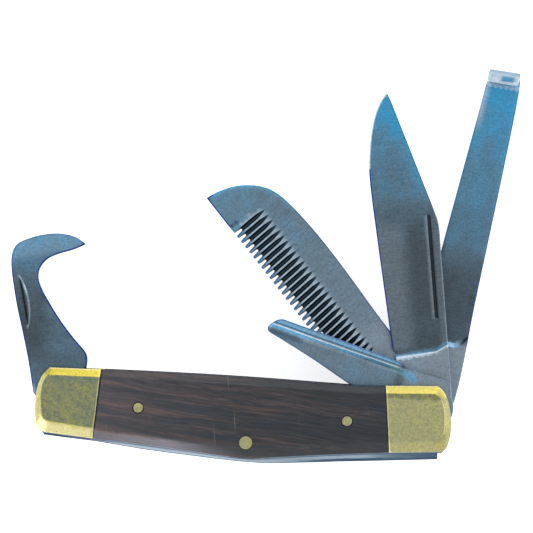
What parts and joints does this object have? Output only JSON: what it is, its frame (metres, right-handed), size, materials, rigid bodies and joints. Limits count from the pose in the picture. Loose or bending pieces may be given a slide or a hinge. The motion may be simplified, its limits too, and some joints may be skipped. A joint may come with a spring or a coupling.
{
  "type": "folding hoof pick",
  "caption": "Folding horseman's pocket tool: hoof-pick hook at one end; punch, knife, mane comb and curled hoof knife at the other, in a wood and brass handle.",
  "frame": {"origin": "on the back scale's flat outer face, midway along the handle, on the line that the lengths are measured from", "axes": "+X along the handle from the hook's end to the tools' end, +Y to the slot side where the tools come out, +Z through the thickness from the back face to the front face"},
  "size_m": [0.1242, 0.1007, 0.0188],
  "materials": {
    "wood": "oiled dark rosewood, satin",
    "brass": "satin brass with worn, brighter edges",
    "spring_steel": "ground steel",
    "blade_steel": "fine cross-brushed steel"
  },
  "bodies": {
    "handle": {"front_scale": "wood", "back_scale": "wood", "front_left_bolster": "brass", "front_right_bolster": "brass", "back_left_bolster": "brass", "back_right_bolster": "brass", "front_left_scale_pin": "brass", "front_right_scale_pin": "brass", "back_left_scale_pin": "brass", "back_right_scale_pin": "brass", "rocker_pin": "brass", "front_liner": "spring_steel", "back_liner": "spring_steel", "centre_liner_front": "spring_steel", "centre_liner_middle": "spring_steel", "centre_liner_back": "spring_steel", "hook_and_punch_spring": "spring_steel", "knife_spring": "spring_steel", "comb_spring": "spring_steel", "hoof_knife_spring": "spring_steel", "hook_pivot_pin": "spring_steel", "tool_pivot_pin": "spring_steel"},
    "hook": {"hoof_hook": "blade_steel"},
    "punch": {"leather_punch": "blade_steel"},
    "knife": {"knife_blade": "blade_steel"},
    "comb": {"mane_comb": "blade_steel"},
    "hoof_knife": {"hoof_knife": "blade_steel"}
  },
  "joints": [
    {"name": "hook_hinge", "type": "hinge", "parent": "handle", "child": "hook", "pos_m": [-0.0454, 0.0013, 0.0135], "axis": [0, 0, 1], "range_deg": [-99.8, 77.2]},
    {"name": "punch_hinge", "type": "hinge", "parent": "handle", "child": "punch", "pos_m": [0.0454, 0.0013, 0.0135], "axis": [0, 0, -1], "range_deg": [-22.9, 165.6]},
    {"name": "knife_hinge", "type": "hinge", "parent": "handle", "child": "knife", "pos_m": [0.0454, 0.0013, 0.0103], "axis": [0, 0, -1], "range_deg": [-81.3, 97.2]},
    {"name": "comb_hinge", "type": "hinge", "parent": "handle", "child": "comb", "pos_m": [0.0454, 0.0013, 0.0075], "axis": [0, 0, -1], "range_deg": [-45.5, 131]},
    {"name": "hoof_knife_hinge", "type": "hinge", "parent": "handle", "child": "hoof_knife", "pos_m": [0.0454, 0.0013, 0.0048], "axis": [0, 0, -1], "range_deg": [-100.5, 79.5]}
  ]
}
